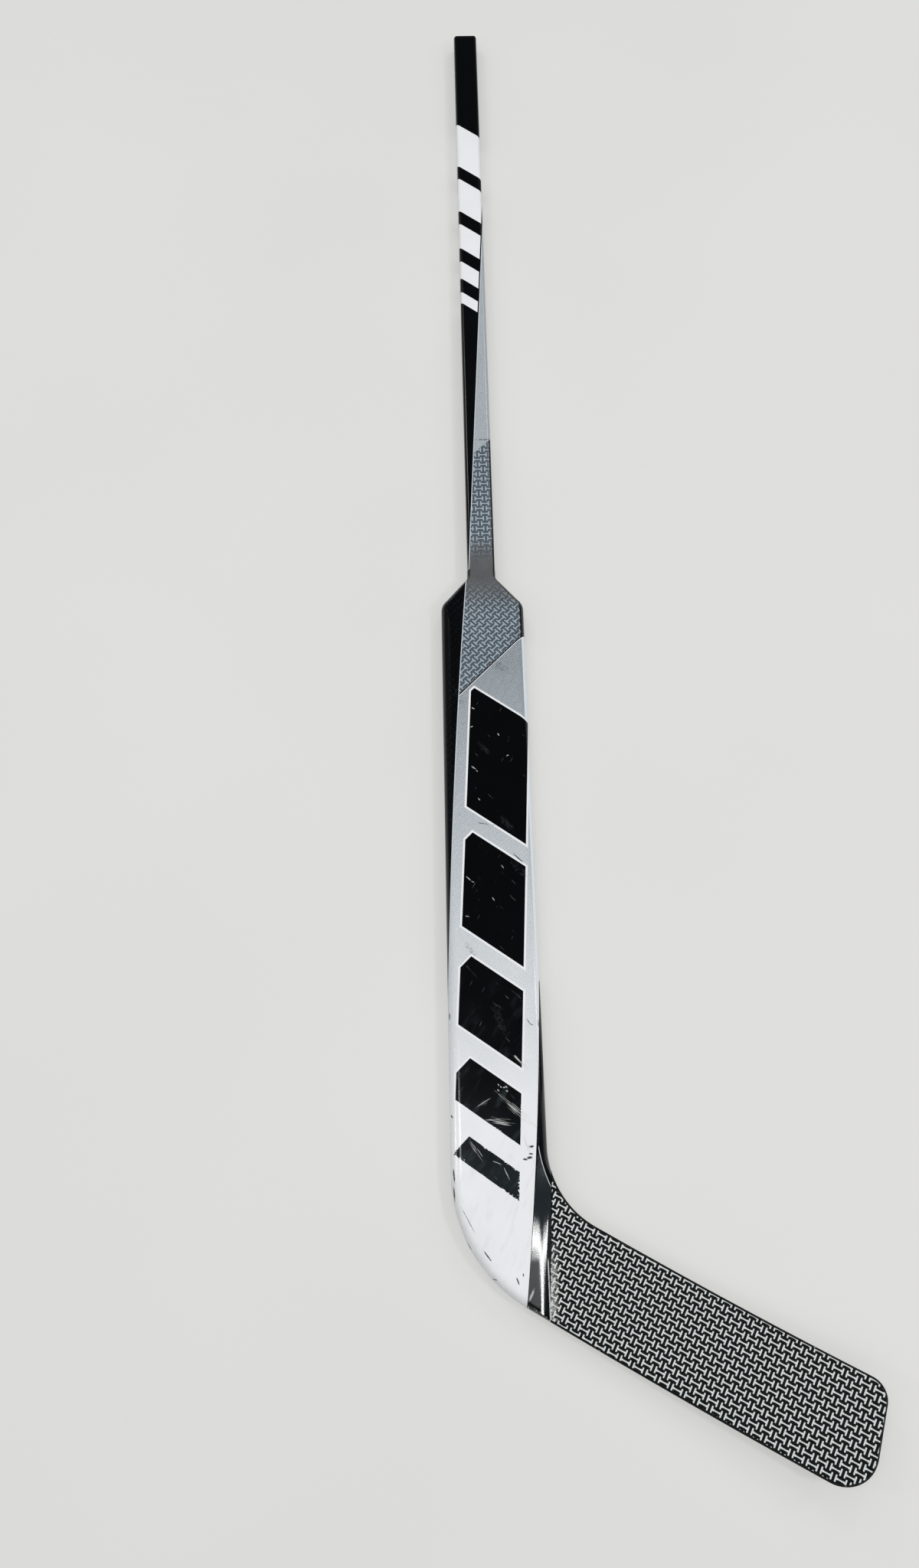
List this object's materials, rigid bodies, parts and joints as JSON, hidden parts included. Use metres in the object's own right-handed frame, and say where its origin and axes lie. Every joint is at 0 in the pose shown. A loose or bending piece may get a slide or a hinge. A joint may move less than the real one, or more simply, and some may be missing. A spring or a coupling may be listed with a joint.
{
  "type": "hockey goalie stick",
  "caption": "Hockey goalie stick with a hollow shaft, a wide foam-filled paddle with a wrapped heel, and a thin woven-skin blade that curves forward to the toe.",
  "frame": {"origin": "middle of the paddle's flat back face, on which the stick lies", "axes": "+Y up the shaft to the butt end, +X to the side that the blade points to, +Z out of the playing side"},
  "size_m": [0.3661, 1.7105, 0.0348],
  "materials": {
    "black_plastic": "black moulded plastic",
    "shaft_paint": "glossy black lacquer with a pale hatched panel and a blue-grey grip weave",
    "paddle_paint": "glossy white lacquer with black blocks, fine hatching and a blue-grey grip weave",
    "twill_wrap": "black twill cloth set in clear resin",
    "woven_skin": "silver and black woven fibre set in clear resin",
    "blade_edge": "black resin edge, scuffed",
    "foam": "rigid foam",
    "wood": "plain laminated hardwood"
  },
  "bodies": {
    "root": {"butt_plug": "black_plastic", "shaft_tube": "shaft_paint", "tenon_plug": "foam", "paddle_front_shell": "paddle_paint", "paddle_back_shell": "paddle_paint", "paddle_left_rail": "wood", "paddle_right_rail": "wood", "paddle_left_core": "foam", "paddle_right_core": "foam", "paddle_web": "wood", "heel_block": "wood", "heel_front_wrap": "twill_wrap", "heel_back_wrap": "twill_wrap", "blade_front_skin": "woven_skin", "blade_back_skin": "woven_skin", "blade_edge_band": "blade_edge", "blade_tongue": "wood", "blade_rib": "wood", "blade_upper_core": "foam", "blade_lower_core": "foam"}
  },
  "joints": []
}
